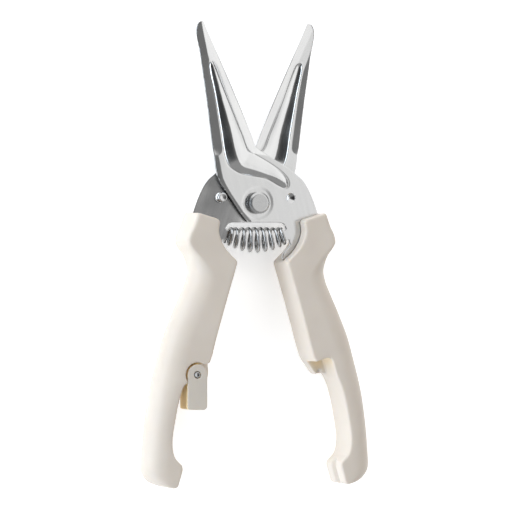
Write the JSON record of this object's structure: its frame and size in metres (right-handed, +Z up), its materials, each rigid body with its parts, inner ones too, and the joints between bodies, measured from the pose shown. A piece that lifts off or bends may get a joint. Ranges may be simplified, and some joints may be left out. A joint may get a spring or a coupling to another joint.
{
  "type": "floral snips",
  "caption": "Spring-opened floral snips with long pressed steel blades, moulded handles and a swinging lock lever.",
  "frame": {"origin": "middle of the open tool's footprint on the surface it lies on; the rivet's axis crosses X=0 at Y=+21.5 mm", "axes": "+Y along the tool towards the blade tips, +X to the right handle, +Z up through the thickness of the tool lying flat"},
  "size_m": [0.1018, 0.195, 0.017],
  "materials": {
    "blade_steel": "bright rolled stainless sheet, pressed rib",
    "rivet_steel": "turned face with fine rings",
    "washer_steel": "plain stamped",
    "pin_steel": "polished",
    "spring_steel": "bright drawn wire",
    "handle_plastic": "warm off-white, satin moulded",
    "lever_plastic": "warm off-white, satin moulded"
  },
  "bodies": {
    "rear_half": {"rear_blade": "blade_steel", "left_handle": "handle_plastic", "rear_stop_pin": "pin_steel", "pivot_rivet": "rivet_steel", "blade_washer": "washer_steel", "rear_washer": "washer_steel", "return_spring": "spring_steel", "lock_pin": "pin_steel", "lever_washer": "washer_steel"},
    "front_half": {"front_blade": "blade_steel", "right_handle": "handle_plastic", "front_stop_pin": "pin_steel"},
    "lock_lever": {"lock_lever": "lever_plastic"}
  },
  "joints": [
    {"name": "blade_pivot", "type": "hinge", "parent": "rear_half", "child": "front_half", "pos_m": [0, 0.02149, 0.0085], "axis": [0, 0, -1], "range_deg": [0, 35], "stiffness_Nm_per_rad": 1.2, "springref_deg": -17.19, "deforming": ["return_spring"]},
    {"name": "lock_pivot", "type": "hinge", "parent": "rear_half", "child": "lock_lever", "pos_m": [-0.02922, -0.05024, 0.0085], "axis": [0, 0, 1], "range_deg": [0, 72.5]}
  ]
}
